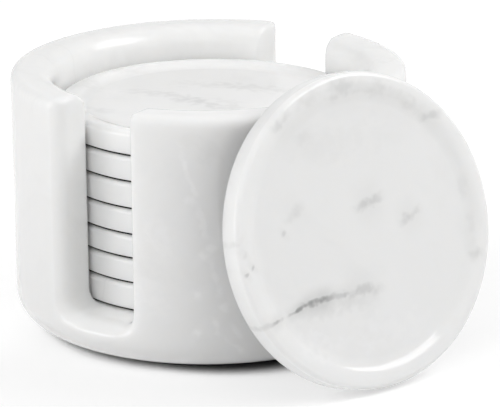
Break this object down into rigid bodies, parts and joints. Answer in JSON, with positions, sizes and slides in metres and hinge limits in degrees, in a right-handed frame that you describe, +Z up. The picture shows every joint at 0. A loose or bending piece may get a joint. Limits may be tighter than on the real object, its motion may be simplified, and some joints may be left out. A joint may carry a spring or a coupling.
{
  "type": "drink coaster set with holder",
  "caption": "Round marble coaster set: a slotted cup-shaped holder, a stack of dished coasters that lift out of it, and a loose coaster that leans on it.",
  "frame": {"origin": "on the holder's axis, at the flat underside of its non-slip disc, where the set stands", "axes": "+Z up along the holder's axis; the two finger slots face -Y (front) and +Y (back); the leaning coaster stands towards +X"},
  "size_m": [0.1647, 0.1398, 0.0983],
  "materials": {
    "marble": "polished white marble with faint grey veins",
    "non_slip": "matt black non-slip sheet"
  },
  "bodies": {
    "holder": {"holder": "marble", "holder_base_pad": "non_slip"},
    "coaster_1": {"coaster_1": "marble", "coaster_pad_1": "non_slip"},
    "coaster_2": {"coaster_2": "marble", "coaster_pad_2": "non_slip"},
    "coaster_3": {"coaster_3": "marble", "coaster_pad_3": "non_slip"},
    "coaster_4": {"coaster_4": "marble", "coaster_pad_4": "non_slip"},
    "coaster_5": {"coaster_5": "marble", "coaster_pad_5": "non_slip"},
    "coaster_6": {"coaster_6": "marble", "coaster_pad_6": "non_slip"},
    "coaster_7": {"coaster_7": "marble", "coaster_pad_7": "non_slip"},
    "leaning_coaster": {"leaning_coaster": "marble", "leaning_coaster_pad": "non_slip"}
  },
  "joints": [
    {"name": "lift_coaster_1", "type": "slide", "parent": "holder", "child": "coaster_1", "axis": [0, 0, 1], "range_m": [0, 0.076]},
    {"name": "lift_coaster_2", "type": "slide", "parent": "coaster_1", "child": "coaster_2", "axis": [0, 0, 1], "range_m": [0, 0.067]},
    {"name": "lift_coaster_3", "type": "slide", "parent": "coaster_2", "child": "coaster_3", "axis": [0, 0, 1], "range_m": [0, 0.058]},
    {"name": "lift_coaster_4", "type": "slide", "parent": "coaster_3", "child": "coaster_4", "axis": [0, 0, 1], "range_m": [0, 0.05]},
    {"name": "lift_coaster_5", "type": "slide", "parent": "coaster_4", "child": "coaster_5", "axis": [0, 0, 1], "range_m": [0, 0.042]},
    {"name": "lift_coaster_6", "type": "slide", "parent": "coaster_5", "child": "coaster_6", "axis": [0, 0, 1], "range_m": [0, 0.033]},
    {"name": "lift_coaster_7", "type": "slide", "parent": "coaster_6", "child": "coaster_7", "axis": [0, 0, 1], "range_m": [0, 0.024]},
    {"name": "lift_leaning_coaster", "type": "slide", "parent": "holder", "child": "leaning_coaster", "axis": [0, 0, 1], "range_m": [0, 0.1]}
  ]
}
